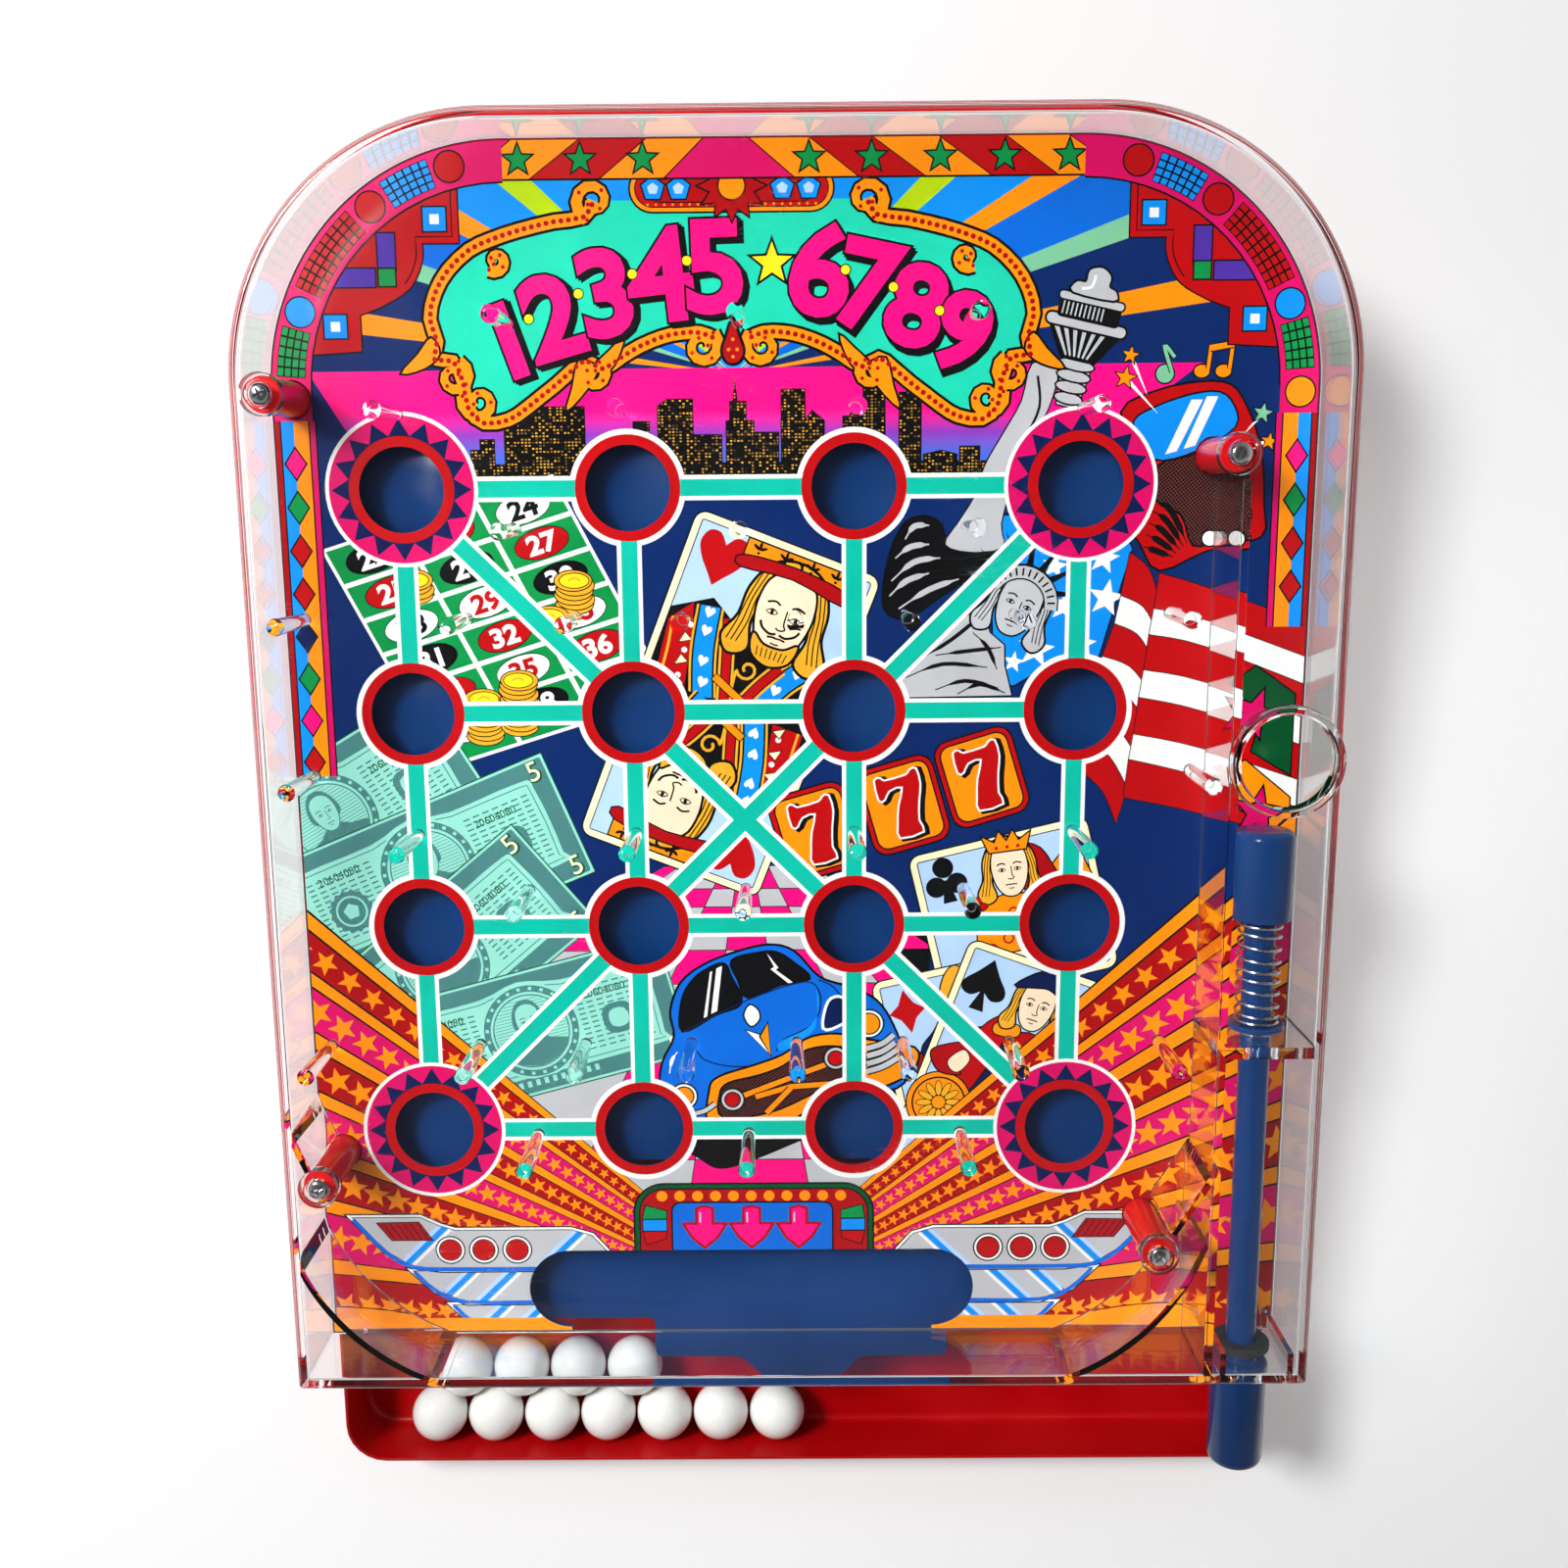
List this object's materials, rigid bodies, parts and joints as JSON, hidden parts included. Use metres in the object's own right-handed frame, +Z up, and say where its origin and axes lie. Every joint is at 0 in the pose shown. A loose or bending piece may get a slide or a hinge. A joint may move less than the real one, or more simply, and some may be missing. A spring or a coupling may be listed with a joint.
{
  "type": "tabletop smart ball game",
  "caption": "Tabletop pachinko-style game: clear cover over a printed pocket board, sprung ball plunger, slide-out release plate, ball tray and folding rear stand.",
  "frame": {"origin": "on the table plane, midway between the sides and midway between the front edge of the tray and the back edge of the base", "axes": "+X to the player's right, +Y away from the player up the slope, +Z up"},
  "size_m": [0.279, 0.3814, 0.1122],
  "materials": {
    "red_plastic": "glossy moulded red polystyrene with a fine moulded texture",
    "blue_plastic": "glossy moulded dark blue plastic",
    "clear_plastic": "clear polystyrene moulding with light scratches",
    "printed_sheet": "thin card printed in bright inks under a gloss varnish",
    "white_plastic": "polished white plastic or glass",
    "spring_steel": "bright drawn wire",
    "plated_steel": "nickel-plated",
    "black_rubber": "matt black rubber"
  },
  "bodies": {
    "machine": {"base_tray": "red_plastic", "clear_cover": "clear_plastic", "cover_screw_back_left": "plated_steel", "cover_screw_back_right": "plated_steel", "cover_screw_front_left": "plated_steel", "cover_screw_front_right": "plated_steel", "front_foot_left": "black_rubber", "front_foot_right": "black_rubber", "playfield_board": "blue_plastic", "plunger_spring": "spring_steel", "printed_sheet": "printed_sheet", "rod_grommet": "black_rubber", "spring_seat": "blue_plastic", "stand_pin_left": "plated_steel", "stand_pin_right": "plated_steel"},
    "release_plate": {"release_plate": "blue_plastic"},
    "plunger": {"plunger_head": "blue_plastic", "plunger_rod": "blue_plastic"},
    "stand": {"stand_frame": "red_plastic", "stand_pad_left": "black_rubber", "stand_pad_right": "black_rubber"},
    "balls": {"ball_01": "white_plastic", "ball_02": "white_plastic", "ball_03": "white_plastic", "ball_04": "white_plastic", "ball_05": "white_plastic", "ball_06": "white_plastic", "ball_07": "white_plastic", "ball_08": "white_plastic", "ball_09": "white_plastic", "ball_10": "white_plastic", "ball_11": "white_plastic"}
  },
  "joints": [
    {"name": "plunger_pull", "type": "slide", "parent": "machine", "child": "plunger", "axis": [0, -0.9903, -0.1392], "range_m": [0, 0.02], "stiffness_N_per_m": 200, "springref_m": -0.01, "deforming": ["plunger_spring"]},
    {"name": "release_slide", "type": "slide", "parent": "machine", "child": "release_plate", "axis": [0, -0.9903, -0.1392], "range_m": [0, 0.0245]},
    {"name": "stand_fold", "type": "hinge", "parent": "machine", "child": "stand", "pos_m": [0, 0.1299, 0.04167], "axis": [1, 0, 0], "range_deg": [-102, 0]},
    {"name": "balls_lift", "type": "slide", "parent": "machine", "child": "balls", "axis": [0, -0.1392, 0.9903], "range_m": [0, 0.05]}
  ]
}
